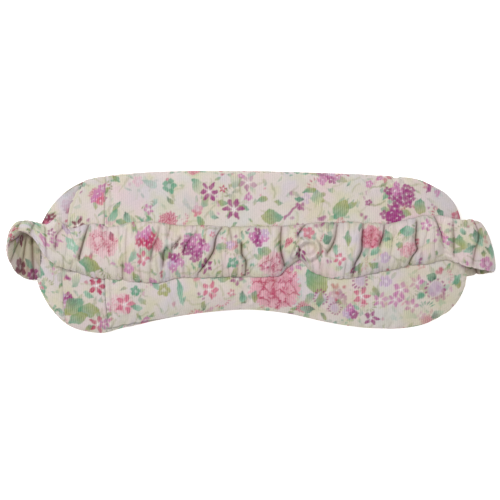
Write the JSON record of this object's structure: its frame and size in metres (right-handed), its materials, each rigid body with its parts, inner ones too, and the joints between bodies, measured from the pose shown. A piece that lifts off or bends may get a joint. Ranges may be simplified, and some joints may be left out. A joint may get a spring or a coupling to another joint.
{
  "type": "eye pillow",
  "caption": "Padded eye pillow with a nose notch, a removable printed cotton cover over a filled pouch, and a ruched elastic head strap that lies across its back.",
  "frame": {"origin": "under the middle of the object, on the surface that it lies on", "axes": "+X along the pillow to the right as seen from the strap side, +Y towards the forehead edge, +Z out of the back panel towards the strap"},
  "size_m": [0.2522, 0.0824, 0.0186],
  "materials": {
    "printed_cotton": "fine ribbed cotton with an all-over small floral print on a cream ground",
    "plain_cotton": "plain unbleached cotton, matt",
    "sewing_thread": "cream polyester thread",
    "woven_elastic": "off-white woven elastic, ribbed",
    "dried_herbs": "loose flax seed and dried flowers"
  },
  "bodies": {
    "pillow": {"cover_front_panel": "printed_cotton", "cover_back_panel": "printed_cotton", "cover_side_flap": "printed_cotton", "cover_perimeter_seam": "sewing_thread", "back_panel_hem_stitch": "sewing_thread", "side_flap_hem_stitch": "sewing_thread", "pouch_front_panel": "plain_cotton", "pouch_back_panel": "plain_cotton", "pouch_seam": "sewing_thread", "herb_filling": "dried_herbs", "strap_casing_left_end": "printed_cotton", "strap_elastic_left_end": "woven_elastic", "strap_long_seam_left_end": "sewing_thread", "strap_casing_right_end": "printed_cotton", "strap_elastic_right_end": "woven_elastic", "strap_long_seam_right_end": "sewing_thread", "left_strap_tack": "sewing_thread", "right_strap_tack": "sewing_thread"},
    "strap": {"strap_casing_span": "printed_cotton", "strap_elastic_span": "woven_elastic", "strap_long_seam_span": "sewing_thread"}
  },
  "joints": [
    {"name": "strap_lift", "type": "slide", "parent": "pillow", "child": "strap", "axis": [0, 0, 1], "range_m": [0, 0.12], "stiffness_N_per_m": 30, "deforming": ["strap_casing_left_end", "strap_elastic_left_end", "strap_long_seam_left_end", "strap_casing_right_end", "strap_elastic_right_end", "strap_long_seam_right_end"]}
  ]
}
